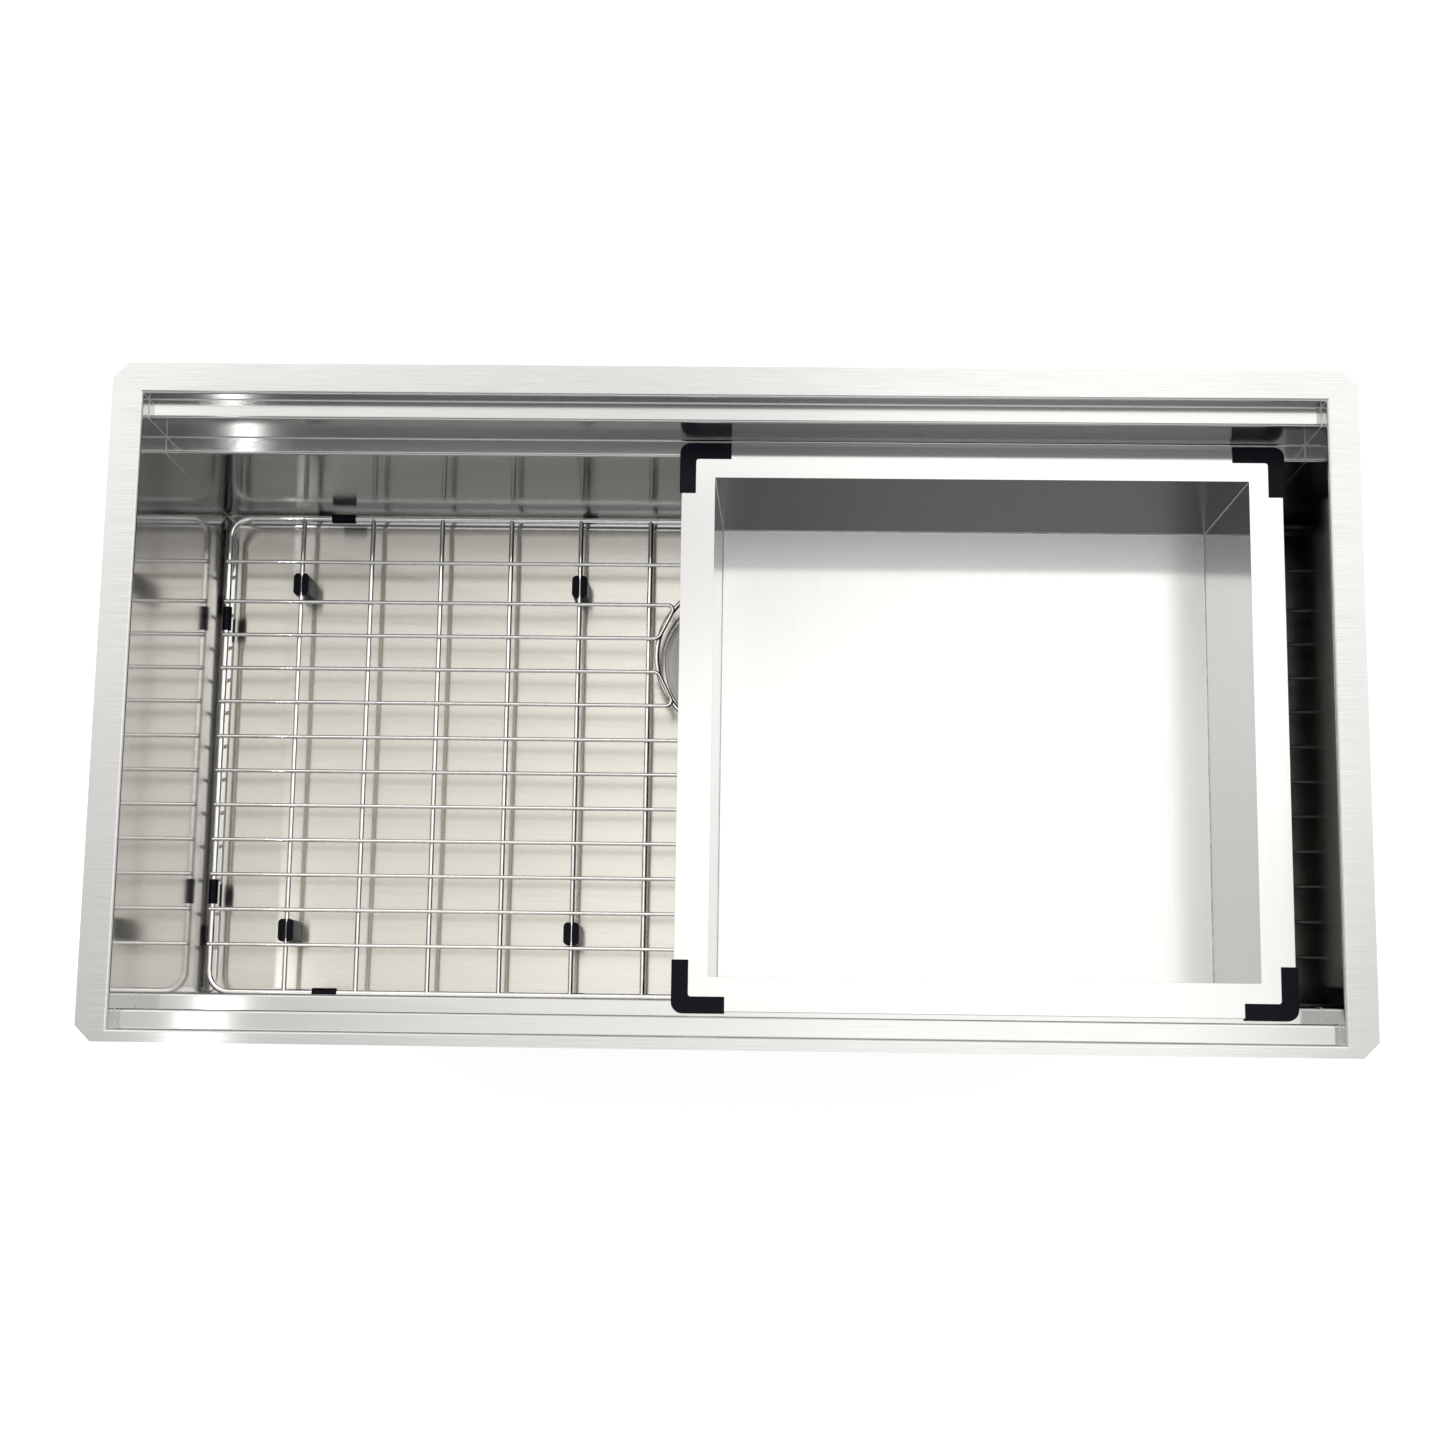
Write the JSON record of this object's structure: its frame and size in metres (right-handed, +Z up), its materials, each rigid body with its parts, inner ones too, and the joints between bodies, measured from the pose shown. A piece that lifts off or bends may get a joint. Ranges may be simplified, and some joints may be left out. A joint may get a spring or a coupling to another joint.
{
  "type": "workstation kitchen sink",
  "caption": "Undermount stainless steel workstation sink: ledged bowl, sliding deep tray, wire bottom grid and basket strainer.",
  "frame": {"origin": "centre of the bowl's opening, on the top face of the rim, where it meets the worktop's underside", "axes": "+X along the sink's length to the right, +Y to the back where the tap stands, +Z up"},
  "size_m": [0.889, 0.483, 0.436],
  "materials": {
    "bowl_steel": "brushed satin",
    "tray_steel": "brushed satin",
    "wire_steel": "polished",
    "drain_steel": "satin",
    "tailpiece_steel": "polished",
    "nut_metal": "cast",
    "black_rubber": "satin",
    "pad_rubber": "matt",
    "gasket_rubber": "matt",
    "fibre": "matt",
    "washer_plastic": "smooth",
    "knob_plastic": "satin"
  },
  "bodies": {
    "sink": {"bowl_sheet": "bowl_steel", "left_end_wall": "bowl_steel", "right_end_wall": "bowl_steel", "floor_pad_left": "pad_rubber", "floor_pad_right": "pad_rubber", "front_pad": "pad_rubber", "back_pad": "pad_rubber", "left_pad": "pad_rubber", "right_pad": "pad_rubber", "flange_seal": "fibre", "strainer_body": "drain_steel", "rubber_gasket": "gasket_rubber", "fibre_ring": "fibre", "lock_nut": "nut_metal", "tailpiece_washer": "washer_plastic", "tailpiece": "tailpiece_steel", "slip_nut": "nut_metal"},
    "tray": {"tray_body": "tray_steel", "tray_guard_1": "black_rubber", "tray_guard_2": "black_rubber", "tray_guard_3": "black_rubber", "tray_guard_4": "black_rubber"},
    "grid": {"grid_frame": "wire_steel", "grid_corners": "wire_steel", "grid_long_wires": "wire_steel", "grid_ring_links": "wire_steel", "grid_cross_wires": "wire_steel", "grid_ring": "wire_steel", "grid_foot_1": "black_rubber", "grid_foot_2": "black_rubber", "grid_foot_3": "black_rubber", "grid_foot_4": "black_rubber", "grid_foot_5": "black_rubber", "grid_foot_6": "black_rubber", "grid_foot_7": "black_rubber", "grid_foot_8": "black_rubber", "grid_bumper_1": "black_rubber", "grid_bumper_2": "black_rubber", "grid_bumper_3": "black_rubber", "grid_bumper_4": "black_rubber", "grid_bumper_5": "black_rubber", "grid_bumper_6": "black_rubber", "grid_bumper_7": "black_rubber", "grid_bumper_8": "black_rubber"},
    "basket": {"basket": "drain_steel", "basket_post": "drain_steel", "basket_knob": "knob_plastic", "basket_stopper": "black_rubber", "stopper_nut": "drain_steel"}
  },
  "joints": [
    {"name": "tray_slide", "type": "slide", "parent": "sink", "child": "tray", "axis": [1, 0, 0], "range_m": [-0.383, 0.016]},
    {"name": "grid_lift", "type": "slide", "parent": "sink", "child": "grid", "axis": [0, 0, 1], "range_m": [0, 0.01]},
    {"name": "basket_lift", "type": "slide", "parent": "sink", "child": "basket", "axis": [0, 0, 1], "range_m": [0, 0.04]}
  ]
}
